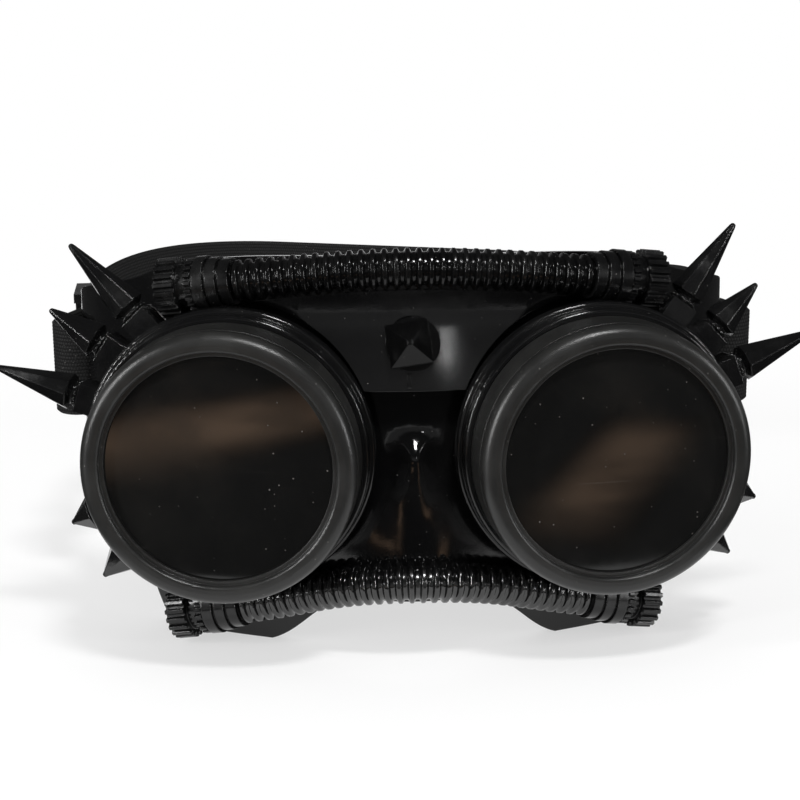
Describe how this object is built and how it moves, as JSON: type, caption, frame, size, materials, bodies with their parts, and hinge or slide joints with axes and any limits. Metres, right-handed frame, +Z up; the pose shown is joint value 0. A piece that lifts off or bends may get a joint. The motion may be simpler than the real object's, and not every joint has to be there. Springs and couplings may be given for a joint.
{
  "type": "steampunk goggles",
  "caption": "Black half-mask costume goggles with screw-on eyepieces, ribbed edge hoses with toothed caps, faceted spikes, a brow stud and an elastic head strap.",
  "frame": {"origin": "on the plane the cheek edges stand on, under the middle of the whole object's box", "axes": "+Z up, the wearer looks along -Y, +X to the right as seen from the front"},
  "size_m": [0.1798, 0.1634, 0.0919],
  "materials": {
    "shell_black": "gloss moulded black",
    "spike_black": "gloss moulded black",
    "fitting_black": "gloss moulded black",
    "hose_black": "gloss flexible black",
    "bezel_satin": "satin dark grey",
    "lens_tint": "polished dark tint",
    "strap_elastic": "woven elastic",
    "slider_black": "moulded black"
  },
  "bodies": {
    "mask": {"mask_shell": "shell_black", "brow_plate": "shell_black", "brow_stud": "shell_black", "left_eye_cup": "shell_black", "right_eye_cup": "shell_black", "left_upper_spike": "spike_black", "left_middle_spike": "spike_black", "left_outer_spike": "spike_black", "left_lower_spike": "spike_black", "left_cheek_spike": "spike_black", "right_upper_spike": "spike_black", "right_middle_spike": "spike_black", "right_outer_spike": "spike_black", "right_lower_spike": "spike_black", "right_cheek_spike": "spike_black", "top_left_ferrule": "fitting_black", "top_left_gear_cap": "fitting_black", "top_right_ferrule": "fitting_black", "top_right_gear_cap": "fitting_black", "bottom_left_ferrule": "fitting_black", "bottom_left_gear_cap": "fitting_black", "bottom_right_ferrule": "fitting_black", "bottom_right_gear_cap": "fitting_black", "top_hose": "hose_black", "bottom_hose": "hose_black", "head_strap": "strap_elastic"},
    "left_lens": {"left_lens": "lens_tint"},
    "left_bezel": {"left_bezel": "bezel_satin"},
    "right_lens": {"right_lens": "lens_tint"},
    "right_bezel": {"right_bezel": "bezel_satin"},
    "strap_slider": {"strap_slider": "slider_black"}
  },
  "joints": [
    {"name": "left_lens_slide", "type": "slide", "parent": "mask", "child": "left_lens", "axis": [-0.1305, -0.9914, 0], "range_m": [0, 0.0045]},
    {"name": "left_bezel_turn", "type": "hinge", "parent": "left_lens", "child": "left_bezel", "pos_m": [-0.0418, -0.07823, 0.046], "axis": [-0.1305, -0.9914, 0], "range_deg": [0, 540]},
    {"name": "right_lens_slide", "type": "slide", "parent": "mask", "child": "right_lens", "axis": [0.1305, -0.9914, 0], "range_m": [0, 0.0045]},
    {"name": "right_bezel_turn", "type": "hinge", "parent": "right_lens", "child": "right_bezel", "pos_m": [0.0418, -0.07823, 0.046], "axis": [0.1305, -0.9914, 0], "range_deg": [0, 540]},
    {"name": "slider_slide", "type": "slide", "parent": "mask", "child": "strap_slider", "axis": [-0.0523, 0.9973, 0.0523], "range_m": [-0.001, 0.008]}
  ],
  "couplings": [
    {"joint": "left_bezel_turn", "follows": "left_lens_slide", "rad_per_m": 2094.4},
    {"joint": "right_bezel_turn", "follows": "right_lens_slide", "rad_per_m": 2094.4}
  ]
}
